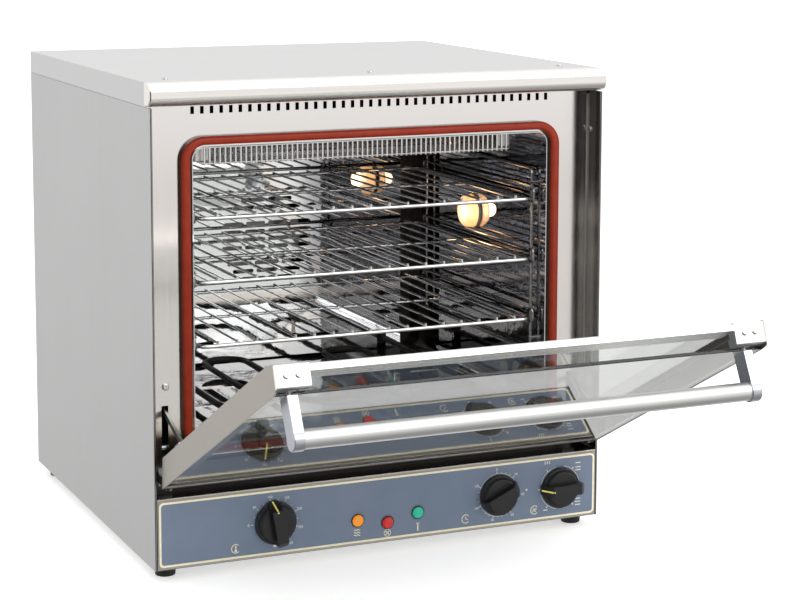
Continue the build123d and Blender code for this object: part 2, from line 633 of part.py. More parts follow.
def opened(shape):
    return Pos(0, PIVOT_Y, PIVOT_Z) * Rot(DOOR_ANGLE, 0, 0) * Pos(0, -PIVOT_Y, -PIVOT_Z) * shape


def save_door(name, shape):
    save(name, opened(shape))


side_pts = [(0, 0), (20, 33), (411, 33), (431, 30.4), (433.6, 28.4), (430.4, 4.2), (428, 1.4), (418, 0)]
door = dprism(side_pts, -DOOR_HX, -DOOR_HX + 1.5) + dprism(side_pts, DOOR_HX - 1.5, DOOR_HX)
door += dprism([(0, 0), (20, 33), (21.8, 33), (1.8, 0)], -DOOR_HX + 1, DOOR_HX - 1)
door += dbox(-DOOR_HX + 1, DOOR_HX - 1, 20.4, 46, 31.5, 33)
for sx in (-1, 1):
    door += dbox(sx * (DOOR_HX - 1), sx * (DOOR_HX - 21), 20.4, 403, 31.5, 33)
    door += dbox(sx * (DOOR_HX - 1), sx * (DOOR_HX - 13), 4, 394, 4.8, 6.0)
door += dbox(-DOOR_HX + 1, DOOR_HX - 1, 3.4, 14, 4.8, 6.0)
# ears below the bottom edge, bored for the pivot pins
for sx in (-1, 1):
    ear = dbox(sx * 283.5, sx * 286.5, PIVOT_Z - DOOR_Z, 4.0, PIVOT_Y - DOOR_Y - 4.0, PIVOT_Y - DOOR_Y + 5.0)
    ear += cyl_x(PIVOT_Y, PIVOT_Z, 5.0, sx * 283.5, sx * 286.5)
    door += ear
    door -= cyl_x(PIVOT_Y, PIVOT_Z, 3.06, sx * 280, sx * 288)
# lugs welded to the inner face, with the pins that carry the hinge links
for sx in (-1, 1):
    x = sx * HINGE_X
    door += dbox(x - 8.2, x - 5.0, LINK_S - 9, LINK_S + 9, 32.9, LINK_T + 4)
    door += dbox(x + 5.0, x + 8.2, LINK_S - 9, LINK_S + 9, 32.9, LINK_T + 4)
    door += cyl_x(DOOR_Y + LINK_T, DOOR_Z + LINK_S, 1.7, x - 8, x + 8)
save_door("door_frame", door)

outer_glass = dbox(-DOOR_HX + 1.9, DOOR_HX - 1.9, 5.0, 417.5, 0.4, 4.4)
for sx in (-1, 1):
    outer_glass -= dcyl_t(sx * 271, HANDLE_S, 4.4, -1, 6)
outer_glass = fillet(outer_glass.edges().filter_by(Axis.X).group_by(Axis.Z)[-1], 0.8)
save_door("door_outer_glass", outer_glass)

inner_glass = dbox(-DOOR_HX + 2.2, DOOR_HX - 2.2, 23.2, 415.8, 27.2, 31.2)
save_door("door_inner_glass", inner_glass)

strip = dprism(
    [(403.4, 20.5), (403.4, 33), (411, 33), (431.5, 28.6), (433, 27), (433, 20.5)],
    -251.4,
    251.4,
)
strip -= dbox(-300, 300, 400, 416.2, 27.0, 31.5)
save_door("door_top_strip", strip)

cap_pts = [(418.6, 5.0), (418.6, 30.6), (431.6, 29.6), (433.2, 28.4), (430.4, 5.6), (429.4, 5.0)]
cap = dprism(cap_pts, 251.8, DOOR_HX - 1.7)
cap = fillet(cap.edges().filter_by(Axis.X).group_by(SortBy.LENGTH)[-1].sort_by(Axis.Z)[-3:], 0.8)
cap += dbox(262.5, 279.5, 397.5, 419, 6.3, 18)
cap -= dcyl_t(271, HANDLE_S, 3.05, 3, 14)
CAP_SCREWS = [(264.5, 17.5), (278.0, 17.5)]


def dscrew_hole(x, t):
    return cyl_z(x, DOOR_Y + t, 1.95, DOOR_Z + 420.2, DOOR_Z + 440)


for x, t in CAP_SCREWS:
    cap -= dscrew_hole(x, t)
    cap -= cyl_z(x, DOOR_Y + t, 3.7, DOOR_Z + 432.0, DOOR_Z + 440)
save_door("corner_cap_right", cap)
save_door("corner_cap_left", mirror_x(cap))

cap_screw = []
for sx in (-1, 1):
    for x, t in CAP_SCREWS:
        cap_screw.append(pan_screw((0, 0, 1), sx * x, DOOR_Y + t, DOOR_Z + 432.05, r=3.4, head=1.8, shank=11.5))

tube_h = cyl_x(DOOR_Y + HANDLE_T, DOOR_Z + HANDLE_S, TUBE_R, -ARM_X0 + 0.05, ARM_X0 - 0.05)
tube_h -= cyl_x(DOOR_Y + HANDLE_T, DOOR_Z + HANDLE_S, TUBE_R - 2, -ARM_X0 - 1, ARM_X0 + 1)
save_door("handle_tube", tube_h)

arm = dbox(ARM_X0, ARM_X1, HANDLE_S - 11, HANDLE_S + 11, HANDLE_T, -0.1)
arm += cyl_x(DOOR_Y + HANDLE_T, DOOR_Z + HANDLE_S, 12.0, ARM_X0, ARM_X1)
arm = fillet([e for e in arm.edges() if e.center().X > ARM_X1 - 0.01 and e.center().Y < DOOR_Y - 1], 1.2)
arm += cyl_x(DOOR_Y + HANDLE_T, DOOR_Z + HANDLE_S, TUBE_R - 2.1, ARM_X0 - 9, ARM_X0 + 1)
arm -= dcyl_t(271, HANDLE_S, 3.05, -16, 2)
save_door("handle_arm_right", arm)
save_door("handle_arm_left", mirror_x(arm))

# handle bolts, hidden in the arms, share a node with the cap screws
for sx in (-1, 1):
    cap_screw.append(dcyl_t(sx * 271, HANDLE_S, 3.0, -15.5, 12.5))
save_door("door_screws", Compound(children=cap_screw))

# Hinge link: a flat bar from the lug through the slot of the front frame.
ly, lz = DOOR_Y + LINK_T, DOOR_Z + LINK_S
a = math.radians(DOOR_ANGLE)
oy = PIVOT_Y + (ly - PIVOT_Y) * math.cos(a) - (lz - PIVOT_Z) * math.sin(a)
oz = PIVOT_Z + (ly - PIVOT_Y) * math.sin(a) + (lz - PIVOT_Z) * math.cos(a)
print("link pivot open", round(oy, 2), round(oz, 2))
LINK_L = 106.0
link = Pos(LINK_L / 2, 0, 0) * Box(LINK_L, 3.0, 6.6)
link += Rot(90, 0, 0) * Cylinder(3.3, 3.0)
link += Pos(LINK_L, 0, 0) * Rot(90, 0, 0) * Cylinder(3.3, 3.0)
link -= Rot(90, 0, 0) * Cylinder(1.75, 10.0)
# local X becomes +Y tilted up
for side_name, sx in (("right", 1), ("left", -1)):
    placed = Pos(sx * HINGE_X, oy, oz) * Rot(LINK_ANGLE, 0, 0) * Rot(0, 0, 90) * link
    save(f"hinge_link_{side_name}", placed)

for x, y, z in ((0, PIVOT_Y - D / 2, PIVOT_Z), (HINGE_X, oy - D / 2, oz)):
    print("axis", round(x / 1000, 5), round(y / 1000, 5), round(z / 1000, 5))
print("fan", round((440 - D / 2) / 1000, 5), FAN_Z / 1000)
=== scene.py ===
import math

import bpy
import numpy as np
from mathutils import Matrix, Vector


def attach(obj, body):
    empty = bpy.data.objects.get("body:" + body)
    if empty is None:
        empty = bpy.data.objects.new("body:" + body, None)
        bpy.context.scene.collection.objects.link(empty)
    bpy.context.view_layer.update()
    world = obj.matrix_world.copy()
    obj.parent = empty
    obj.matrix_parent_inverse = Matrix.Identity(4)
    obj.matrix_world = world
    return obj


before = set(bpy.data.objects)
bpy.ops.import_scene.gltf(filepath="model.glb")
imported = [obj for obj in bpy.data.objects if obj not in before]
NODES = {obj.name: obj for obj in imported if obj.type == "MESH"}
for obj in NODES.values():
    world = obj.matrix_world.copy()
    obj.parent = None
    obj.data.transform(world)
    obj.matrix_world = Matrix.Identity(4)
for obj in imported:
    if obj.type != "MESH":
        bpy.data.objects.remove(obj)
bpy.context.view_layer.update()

# The oven's body is 0.548 m deep and the origin is in its middle, so the front
# edge of the side panels is at Y = -0.274.
Y0 = -0.274
SCENE = bpy.context.scene


def Y(mm):
    """Depth in mm behind the front edge of the side panels, as a Y in metres."""
    return Y0 + mm / 1000.0


# ------------------------------------------------------------------ node helper
class Mat:
    """A node material with one Principled shader."""

    def __init__(self, name, base=(0.8, 0.8, 0.8), metallic=0.0, rough=0.5, **sockets):
        self.m = bpy.data.materials.new(name)
        self.m.use_nodes = True
        self.nt = self.m.node_tree
        self.nt.nodes.clear()
        self.out = self.nt.nodes.new("ShaderNodeOutputMaterial")
        self.b = self.nt.nodes.new("ShaderNodeBsdfPrincipled")
        self.nt.links.new(self.b.outputs[0], self.out.inputs[0])
        self.base = base
        self.rough = rough
        self.set("Base Color", (*base, 1.0))
        self.set("Metallic", metallic)
        self.set("Roughness", rough)
        for k, v in sockets.items():
            self.set(k.replace("_", " "), v)
        self.coord = self.node("ShaderNodeTexCoord").outputs["Object"]
        self.height = None

    def set(self, socket, value):
        self.b.inputs[socket].default_value = value

    def node(self, kind, props=None, **inputs):
        n = self.nt.nodes.new(kind)
        for k, v in (props or {}).items():
            setattr(n, k, v)
        for k, v in inputs.items():
            self.put(n.inputs[k.replace("_", " ")], v)
        return n

    def put(self, socket, v):
        if isinstance(v, bpy.types.NodeSocket):
            self.nt.links.new(v, socket)
        elif isinstance(v, tuple) and len(v) == 3 and socket.type == "RGBA":
            socket.default_value = (*v, 1.0)
        else:
            socket.default_value = v

    def math(self, op, a, b=None, c=None, clamp=False):
        n = self.nt.nodes.new("ShaderNodeMath")
        n.operation = op
        n.use_clamp = clamp
        for i, v in enumerate((a, b, c)):
            if v is not None:
                self.put(n.inputs[i], v)
        return n.outputs[0]

    def xyz(self):
        s = self.node("ShaderNodeSeparateXYZ")
        self.nt.links.new(self.coord, s.inputs[0])
        return s.outputs[0], s.outputs[1], s.outputs[2]

    def normal_xyz(self):
        g = self.node("ShaderNodeTexCoord").outputs["Normal"]
        s = self.node("ShaderNodeSeparateXYZ")
        self.nt.links.new(g, s.inputs[0])
        return s.outputs[0], s.outputs[1], s.outputs[2]

    def noise(self, scale, detail=4.0, rough=0.55, stretch=(1, 1, 1), distortion=0.0):
        m = self.node("ShaderNodeMapping", Scale=tuple(float(s) for s in stretch))
        self.nt.links.new(self.coord, m.inputs["Vector"])
        n = self.node("ShaderNodeTexNoise", Scale=scale, Detail=detail, Roughness=rough, Distortion=distortion)
        self.nt.links.new(m.outputs[0], n.inputs["Vector"])
        return n.outputs["Fac"]

    def remap(self, v, a, b, c, d, smooth=False):
        n = self.node("ShaderNodeMapRange", {"clamp": True})
        if smooth:
            n.interpolation_type = "SMOOTHSTEP"
        self.put(n.inputs["Value"], v)
        for k, x in (("From Min", a), ("From Max", b), ("To Min", c), ("To Max", d)):
            n.inputs[k].default_value = x
        return n.outputs["Result"]

    def mix(self, fac, a, b, mode="MIX"):
        n = self.node("ShaderNodeMix", {"data_type": "RGBA", "blend_type": mode})
        self.put(n.inputs[0], fac)
        self.put(n.inputs[6], a)
        self.put(n.inputs[7], b)
        return n.outputs[2]

    def color(self, v):
        self.nt.links.new(v, self.b.inputs["Base Color"])
        return self

    def roughness(self, v):
        self.nt.links.new(v, self.b.inputs["Roughness"])
        return self

    def bump(self, height, strength=0.2, distance=0.0005):
        n = self.node("ShaderNodeBump", Strength=strength, Distance=distance)
        self.nt.links.new(height, n.inputs["Height"])
        if self.height is not None:
            self.nt.links.new(self.height, n.inputs["Normal"])
        self.height = n.outputs[0]
        self.nt.links.new(self.height, self.b.inputs["Normal"])
        return self


def shade(c, k):
    return tuple(min(1.0, x * k) for x in c)


def steel(name, base, rough, grain=(500, 500, 5), spread=0.05, bump=0.06, cloud=0.05, marks=0.05, **kw):
    """Rolled stainless sheet: a fine directional grain, soft clouding and a few handling marks."""
    m = Mat(name, base, 1.0, rough, **kw)
    g = m.noise(1.0, 5.0, 0.65, grain)
    fine = m.noise(1.0, 3.0, 0.6, tuple(x * 2.7 for x in grain))
    c = m.noise(7.0, 3.0, 0.5)
    hand = m.noise(23.0, 5.0, 0.7, distortion=1.2)
    col = m.mix(m.remap(g, 0.3, 0.7, 0.0, 1.0), shade(base, 1.0 - spread), shade(base, 1.0 + spread * 0.7))
    col = m.mix(m.remap(c, 0.3, 0.7, 0.0, cloud * 2.2), col, shade(base, 0.82))
    m.color(col)
    r = m.math("ADD", m.remap(g, 0.3, 0.7, rough - 0.035, rough + 0.035), m.remap(hand, 0.55, 0.8, 0.0, marks))
    m.roughness(m.math("ADD", r, m.remap(fine, 0.3, 0.7, -0.012, 0.012)))
    m.bump(g, bump, 0.0002)
    m.bump(fine, bump * 0.6, 0.0001)
    return m


def plastic(name, base, rough, grain=2200.0, bump=0.05, spread=0.12, **kw):
    """Moulded plastic with a fine spark-eroded grain."""
    m = Mat(name, base, 0.0, rough, **kw)
    g = m.noise(grain, 3.0, 0.6)
    c = m.noise(35.0, 4.0, 0.6)
    m.color(m.mix(m.remap(c, 0.3, 0.7, 0.0, 1.0), shade(base, 1.0 - spread), shade(base, 1.0 + spread)))
    m.roughness(m.math("ADD", m.remap(g, 0.3, 0.7, rough - 0.04, rough + 0.04), m.remap(c, 0.55, 0.75, 0.0, 0.06)))
    m.bump(g, bump, 0.0002)
    return m


def wire(name, base, rough, metallic=1.0, spread=0.10, tint_and_painted_shade=None, **kw):
    """Drawn and plated wire: bright, with draw lines and slight staining."""
    m = Mat(name, base, metallic, rough, **kw)
    g = m.noise(420.0, 4.0, 0.6)
    c = m.noise(38.0, 3.0, 0.6)
    col = m.mix(m.remap(g, 0.3, 0.7, 0.0, 1.0), shade(base, 1 - spread), shade(base, 1 + spread * 0.5))
    col = m.mix(m.remap(c, 0.5, 0.8, 0.0, 0.5), col, tint_and_painted_shade or shade(base, 0.72))
    m.color(col)
    m.roughness(m.remap(g, 0.3, 0.7, rough - 0.05, rough + 0.06))
    m.bump(g, 0.05, 0.0001)
    return m


# ------------------------------------------------------------------ mesh helpers
def add(name, verts, faces, mat, body="root", smooth=False):
    me = bpy.data.meshes.new(name)
    me.from_pydata([tuple(v) for v in verts], [], [tuple(f) for f in faces])
    me.validate()
    me.update()
    if smooth:
        me.polygons.foreach_set("use_smooth", [True] * len(me.polygons))
    o = bpy.data.objects.new(name, me)
    SCENE.collection.objects.link(o)
    me.materials.append(mat.m)
    if body:
        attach(o, body)
    return o


class Soup:
    """Collects verts and faces of many small solids for one mesh."""

    def __init__(self):
        self.v, self.f = [], []

    def extend(self, verts, faces):
        k = len(self.v)
        self.v += [tuple(p) for p in verts]
        self.f += [tuple(i + k for i in q) for q in faces]

    def prism(self, outline, y0, y1):
        """Closed flat shape of (x, z) points, from y0 (front) to y1 (back)."""
        n = len(outline)
        verts = [(x, y0, z) for x, z in outline] + [(x, y1, z) for x, z in outline]
        faces = [list(range(n)), list(range(2 * n - 1, n - 1, -1))]
        faces += [[(i + 1) % n, i, i + n, (i + 1) % n + n] for i in range(n)]
        self.extend(verts, faces)

    def ring(self, outer, inner, y0, y1):
        """Closed flat band between two outlines with the same number of points."""
        n = len(outer)
        v = [(x, y0, z) for x, z in outer] + [(x, y0, z) for x, z in inner]
        v += [(x, y1, z) for x, z in outer] + [(x, y1, z) for x, z in inner]
        f = []
        for i in range(n):
            j = (i + 1) % n
            f.append([i, j, n + j, n + i])
            f.append([2 * n + j, 2 * n + i, 3 * n + i, 3 * n + j])
            f.append([j, i, 2 * n + i, 2 * n + j])
            f.append([n + i, n + j, 3 * n + j, 3 * n + i])
        self.extend(v, f)

    def tube(self, path, r, sides=8, closed=False):
        """Round bar along a list of points."""
        P = [Vector(p) for p in path]
        n = len(P)
        up = None
        rings = []
        for i in range(n):
            if closed:
                t = P[(i + 1) % n] - P[i - 1]
            else:
                t = P[min(i + 1, n - 1)] - P[max(i - 1, 0)]
            t.normalize()
            if up is None:
                up = t.orthogonal().normalized()
            else:
                up = (up - t * up.dot(t)).normalized()
            side = t.cross(up)
            rad = r[i] if isinstance(r, (list, tuple)) else r
            rings.append([P[i] + (up * math.cos(a) + side * math.sin(a)) * rad for a in [2 * math.pi * k / sides for k in range(sides)]])
        verts = [p for ring in rings for p in ring]
        faces = []
        for i in range(n if closed else n - 1):
            a, b = i * sides, ((i + 1) % n) * sides
            for k in range(sides):
                l = (k + 1) % sides
                faces.append([a + k, a + l, b + l, b + k])
        if not closed:
            faces.append(list(range(sides - 1, -1, -1)))
            faces.append([(n - 1) * sides + k for k in range(sides)])
        self.extend(verts, faces)


def rounded(x0, x1, z0, z1, r, seg=8):
    pts = []
    for cx, cz, a0 in ((x1 - r, z1 - r, 0), (x0 + r, z1 - r, 90), (x0 + r, z0 + r, 180), (x1 - r, z0 + r, 270)):
        for i in range(seg + 1):
            a = math.radians(a0 + 90 * i / seg)
            pts.append((cx + r * math.cos(a), cz + r * math.sin(a)))
    return pts


def bar(cx, cz, length, width, angle):
    """Outline of a small bar; angle from vertical, positive to the right, in degrees."""
    a = math.radians(angle)
    ux, uz = math.sin(a), math.cos(a)
    px, pz = uz, -ux
    h, w = length / 2, width / 2
    return [
        (cx - ux * h - px * w, cz - uz * h - pz * w),
        (cx - ux * h + px * w, cz - uz * h + pz * w),
        (cx + ux * h + px * w, cz + uz * h + pz * w),
        (cx + ux * h - px * w, cz + uz * h - pz * w),
    ]


def arc_outline(cx, cz, r0, r1, a0, a1, seg=24):
    """Band of a circle between two angles from vertical, positive to the right."""
    A = [math.radians(a0 + (a1 - a0) * i / seg) for i in range(seg + 1)]
    return [(cx + r1 * math.sin(a), cz + r1 * math.cos(a)) for a in A] + [
        (cx + r0 * math.sin(a), cz + r0 * math.cos(a)) for a in reversed(A)
    ]


# ------------------------------------------------------------------ camera
cam_data = bpy.data.cameras.new("camera")
cam = bpy.data.objects.new("camera", cam_data)
SCENE.collection.objects.link(cam)
cam_data.sensor_width = 36.0
cam_data.lens = 96.761
cam_data.shift_x = -0.019645
cam_data.shift_y = -0.157667
cam_data.clip_start, cam_data.clip_end = 0.05, 100.0
right = Vector((0.91170581, -0.41082861, 0.00351705))
down = Vector((-0.05001108, -0.11947274, -0.99157711))
ahead = Vector((0.40778843, 0.90385072, -0.12946997))
rot = Matrix((right, -down, -ahead)).transposed()
cam.matrix_world = Matrix.Translation((-1.030357, -2.643254, 0.811860)) @ rot.to_4x4()
SCENE.camera = cam
SCENE.view_settings.view_transform = "Standard"
SCENE.view_settings.look = "None"

# ------------------------------------------------------------------ studio
world = bpy.data.worlds.new("studio")
SCENE.world = world
world.use_nodes = True
wt = world.node_tree
wt.nodes.clear()
w_out = wt.nodes.new("ShaderNodeOutputWorld")
w_bg = wt.nodes.new("ShaderNodeBackground")
w_tc = wt.nodes.new("ShaderNodeTexCoord")
w_sep = wt.nodes.new("ShaderNodeSeparateXYZ")
wt.links.new(w_tc.outputs["Generated"], w_sep.inputs[0])
w_lift = wt.nodes.new("ShaderNodeMapRange")
w_lift.inputs["From Min"].default_value = -1.0
wt.links.new(w_sep.outputs[2], w_lift.inputs["Value"])
w_ramp = wt.nodes.new("ShaderNodeValToRGB")
wt.links.new(w_lift.outputs[0], w_ramp.inputs[0])
STOPS = [(0.0, 0.24), (0.28, 0.46), (0.40, 0.83), (0.46, 0.90), (0.5, 0.85), (0.60, 0.95), (0.80, 1.0), (1.0, 0.96)]
while len(w_ramp.color_ramp.elements) < len(STOPS):
    w_ramp.color_ramp.elements.new(0.5)
for e, (p, v) in zip(w_ramp.color_ramp.elements, STOPS):
    e.position = p
    e.color = (v, v, v * 0.995, 1.0)
# the unlit side of the studio, in front and to the left
w_dot = wt.nodes.new("ShaderNodeVectorMath")
w_dot.operation = "DOT_PRODUCT"
wt.links.new(w_tc.outputs["Generated"], w_dot.inputs[0])
w_dot.inputs[1].default_value = Vector((-0.44, -0.89, -0.13)).normalized()
w_dark = wt.nodes.new("ShaderNodeMapRange")
w_dark.interpolation_type = "SMOOTHSTEP"
for k, v in (("From Min", 0.81), ("From Max", 0.90), ("To Min", 1.0), ("To Max", 0.05)):
    w_dark.inputs[k].default_value = v
wt.links.new(w_dot.outputs["Value"], w_dark.inputs["Value"])
w_mul = wt.nodes.new("ShaderNodeVectorMath")
w_mul.operation = "SCALE"
wt.links.new(w_ramp.outputs[0], w_mul.inputs[0])
wt.links.new(w_dark.outputs[0], w_mul.inputs["Scale"])
# the lit table behind the oven
w_low = wt.nodes.new("ShaderNodeVectorMath")
w_low.operation = "DOT_PRODUCT"
wt.links.new(w_tc.outputs["Generated"], w_low.inputs[0])
w_low.inputs[1].default_value = Vector((0.41, 0.63, -0.66)).normalized()
w_glow = wt.nodes.new("ShaderNodeMapRange")
w_glow.interpolation_type = "SMOOTHSTEP"
for k, v in (("From Min", 0.84), ("From Max", 0.94), ("To Min", 0.0), ("To Max", 0.46)):
    w_glow.inputs[k].default_value = v
wt.links.new(w_low.outputs["Value"], w_glow.inputs["Value"])
w_add = wt.nodes.new("ShaderNodeVectorMath")
w_add.operation = "ADD"
wt.links.new(w_mul.outputs[0], w_add.inputs[0])
wt.links.new(w_glow.outputs[0], w_add.inputs[1])
wt.links.new(w_add.outputs[0], w_bg.inputs["Color"])
w_bg.inputs["Strength"].default_value = 1.0
wt.links.new(w_bg.outputs[0], w_out.inputs[0])


def softbox(name, where, at, size, power, colour=(1, 1, 1)):
    d = bpy.data.lights.new(name, "AREA")
    d.shape = "RECTANGLE"
    d.size, d.size_y = size
    d.energy = power
    d.color = colour
    o = bpy.data.objects.new(name, d)
    SCENE.collection.objects.link(o)
    o.location = where
    o.rotation_mode = "QUATERNION"
    o.rotation_quaternion = (Vector(at) - Vector(where)).to_track_quat("-Z", "Y")
    return o


softbox("key_softbox", (0.8, -2.3, 1.80), (0.0, -0.2, 0.30), (3.0, 1.5), 26.0)
softbox("top_softbox", (0.1, -0.1, 3.0), (0.0, 0.0, 0.5), (3.4, 3.0), 15.0)

floor_mat = Mat("studio_floor", (0.90, 0.90, 0.895), 0.0, 0.6)
fn = floor_mat.noise(3.0, 3.0, 0.5)
floor_col = floor_mat.mix(floor_mat.remap(fn, 0.3, 0.7, 0.0, 1.0), (0.93, 0.93, 0.925), (0.94, 0.94, 0.935))
floor_mat.color(floor_col)
floor_mat.put(floor_mat.b.inputs["Emission Color"], floor_col)
floor_mat.set("Emission Strength", 0.54)
fs = 16.0
floor = add("studio_floor", [(-fs, -fs, 0), (fs, -fs, 0), (fs, fs, 0), (-fs, fs, 0)], [(0, 1, 2, 3)], floor_mat, body=None)
floor.visible_glossy = False
floor.visible_transmission = False

# ------------------------------------------------------------------ materials
side_steel = steel("side_steel", (0.655, 0.655, 0.655), 0.44, (620, 620, 5), 0.045, 0.05, 0.05)
x, y, z = side_steel.xyz()
# inner faces of the side panels: painted dark reflection, darkest at the front edge and lighter deeper in; these faces
# are also glossier
inward = side_steel.math("LESS_THAN", side_steel.math("ABSOLUTE", x), 0.2968)
inner_shade_and_gloss_ramp = side_steel.remap(y, Y(9.0), Y(20.0), 0.0, 1.0, True)
old = side_steel.b.inputs["Roughness"].links[0].from_socket
polish = side_steel.remap(inner_shade_and_gloss_ramp, 0.0, 1.0, 0.28, 0.40)
side_steel.roughness(side_steel.math("MULTIPLY", old, side_steel.math("ADD", side_steel.math("MULTIPLY", inward, polish), side_steel.math("SUBTRACT", 1.0, inward))))
old = side_steel.b.inputs["Base Color"].links[0].from_socket
side_steel.color(side_steel.mix(inward, old, side_steel.mix(inner_shade_and_gloss_ramp, (0.34, 0.325, 0.31), (0.62, 0.595, 0.57))))
lid_steel = steel("lid_steel", (0.70, 0.70, 0.70), 0.34, (6, 620, 620), 0.035, 0.05, 0.04)
nosing_steel = steel("nosing_steel", (0.97, 0.925, 0.885), 0.20, (5, 700, 700), 0.05, 0.05, 0.03)
front_steel = steel("front_steel", (0.81, 0.76, 0.735), 0.15, (640, 640, 5), 0.03, 0.03, 0.03)
housing_steel = steel("housing_steel", (0.50, 0.47, 0.43), 0.20, (6, 600, 600), 0.05, 0.05, 0.05)
rear_steel = steel("rear_steel", (0.60, 0.595, 0.585), 0.42, (620, 620, 5), 0.05, 0.05, 0.06)
base_zinc = steel("base_zinc", (0.52, 0.52, 0.53), 0.46, (60, 60, 60), 0.09, 0.06, 0.2)
door_steel = steel("door_steel", (0.52, 0.485, 0.44), 0.36, (560, 6, 560), 0.05, 0.05, 0.05)
strip_steel = steel("strip_steel", (0.80, 0.795, 0.785), 0.26, (6, 700, 700), 0.04, 0.05, 0.03)
cap_alu = steel("cap_aluminium", (0.86, 0.86, 0.86), 0.40, (900, 900, 900), 0.04, 0.05, 0.03)
tube_alu = steel("tube_aluminium", (0.82, 0.815, 0.81), 0.36, (7, 800, 800), 0.04, 0.06, 0.03)
arm_alu = steel("arm_aluminium", (0.60, 0.625, 0.68), 0.32, (700, 700, 700), 0.05, 0.06, 0.03)
x, y, z = housing_steel.xyz()
# painted shadow: the top of the control housing, under the door, is painted near black
ledge_shadow_mask = housing_steel.math("MULTIPLY", housing_steel.math("GREATER_THAN", z, 0.1008), housing_steel.math("GREATER_THAN", y, Y(1.2)))
old = housing_steel.b.inputs["Base Color"].links[0].from_socket
housing_steel.color(housing_steel.mix(ledge_shadow_mask, old, (0.115, 0.105, 0.095)))
x, y, z = front_steel.xyz()
# painted shadow: the lower part of the front frame, near the front, is painted almost black
low_frame_shadow = front_steel.math("MULTIPLY", front_steel.remap(z, 0.128, 0.150, 1.0, 0.0, True), front_steel.math("LESS_THAN", y, Y(60.0)))
old = front_steel.b.inputs["Base Color"].links[0].from_socket
# painted highlight: the frame is made lighter towards the top
old = front_steel.mix(front_steel.remap(z, 0.44, 0.575, 0.0, 1.0, True), old, (0.90, 0.86, 0.835))
front_steel.color(front_steel.mix(front_steel.math("MULTIPLY", low_frame_shadow, 0.9), old, (0.030, 0.029, 0.028)))
x, y, z = door_steel.xyz()
SD, CD = math.sin(math.radians(62.7)), math.cos(math.radians(62.7))
along = door_steel.math("ADD", door_steel.math("MULTIPLY", door_steel.math("SUBTRACT", Y(-4.0), y), SD), door_steel.math("MULTIPLY", door_steel.math("SUBTRACT", z, 0.1175), CD))
# painted shade: the bottom rail of the door frame, next to the hinge line, is painted dark
door_bottom_shade = door_steel.math("MULTIPLY", door_steel.remap(along, 0.030, 0.040, 1.0, 0.0, True), door_steel.math("LESS_THAN", door_steel.math("ABSOLUTE", x), 0.2905))
old = door_steel.b.inputs["Base Color"].links[0].from_socket
door_steel.color(door_steel.mix(door_steel.math("MULTIPLY", door_bottom_shade, 0.88), old, (0.15, 0.135, 0.115)))
screw_steel = steel("screw_steel", (0.72, 0.72, 0.72), 0.24, (900, 900, 900), 0.06, 0.08, 0.04)
hinge_zinc = steel("hinge_zinc", (0.42, 0.47, 0.45), 0.34, (240, 240, 240), 0.10, 0.08, 0.2)
cast_alu = steel("cast_aluminium", (0.66, 0.66, 0.66), 0.5, (300, 300, 300), 0.08, 0.16, 0.1)

# polished lining: bright, with rolling streaks along the depth and heat tint towards the back
lining = Mat("cavity_lining", (0.62, 0.615, 0.62), 1.0, 0.05)
x, y, z = lining.xyz()
g = lining.noise(1.0, 5.0, 0.6, (260, 5, 260))
c = lining.noise(9.0, 4.0, 0.6, distortion=0.8)
col = lining.mix(lining.remap(g, 0.3, 0.7, 0.0, 1.0), (0.58, 0.58, 0.59), (0.68, 0.68, 0.69))
col = lining.mix(lining.remap(c, 0.45, 0.75, 0.0, 0.35), col, (0.50, 0.49, 0.48))
deep = lining.remap(y, Y(416), Y(424), 0.0, 1.0, True)
col = lining.mix(deep, col, (0.055, 0.05, 0.046))
# painted reflection: the right wall is painted a darker blue grey above the floor's reach
right_wall_dark_reflection = lining.math("MULTIPLY", lining.math("GREATER_THAN", x, 0.229), lining.remap(z, 0.205, 0.275, 0.0, 1.0, True))
col = lining.mix(lining.math("MULTIPLY", right_wall_dark_reflection, 0.92), col, (0.54, 0.53, 0.56))
lining.color(col)
lining.roughness(lining.math("ADD", lining.remap(g, 0.3, 0.7, 0.02, 0.05), lining.math("MULTIPLY", deep, 0.3)))
lining.bump(g, 0.03, 0.0001)
lining.bump(c, 0.10, 0.004)

baffle_mat = Mat("baffle_lining", (0.76, 0.755, 0.75), 1.0, 0.09)
g = baffle_mat.noise(1.0, 5.0, 0.6, (5, 260, 260))
c = baffle_mat.noise(8.0, 4.0, 0.6, distortion=0.8)
col = baffle_mat.mix(baffle_mat.remap(g, 0.3, 0.7, 0.0, 1.0), (0.84, 0.84, 0.835), (0.92, 0.92, 0.915))
col = baffle_mat.mix(baffle_mat.remap(c, 0.5, 0.8, 0.0, 0.3), col, (0.78, 0.76, 0.73))
x, y, z = baffle_mat.xyz()
# painted dark reflection on the right part of the baffle, patchy and weaker towards the bottom
tint_and_painted_shade = baffle_mat.math("MULTIPLY", baffle_mat.remap(x, 0.030, 0.080, 0.0, 1.0, True), baffle_mat.remap(c, 0.25, 0.6, 0.82, 1.0))
tint_and_painted_shade = baffle_mat.math("MULTIPLY", tint_and_painted_shade, baffle_mat.remap(z, 0.20, 0.27, 0.25, 1.0, True))
baffle_mat.color(baffle_mat.mix(tint_and_painted_shade, col, (0.40, 0.40, 0.415)))
baffle_mat.roughness(baffle_mat.remap(g, 0.3, 0.7, 0.015, 0.035))
baffle_mat.bump(g, 0.02, 0.0001)
baffle_mat.bump(c, 0.08, 0.003)

rear_wall_mat = Mat("rear_wall_oxide", (0.10, 0.095, 0.09), 1.0, 0.45)
c = rear_wall_mat.noise(14.0, 5.0, 0.65, distortion=0.8)
rear_wall_mat.color(rear_wall_mat.mix(rear_wall_mat.remap(c, 0.3, 0.7, 0.0, 1.0), (0.055, 0.05, 0.046), (0.14, 0.125, 0.11)))
rear_wall_mat.roughness(rear_wall_mat.remap(c, 0.3, 0.7, 0.35, 0.6))
rear_wall_mat.bump(c, 0.1, 0.0006)

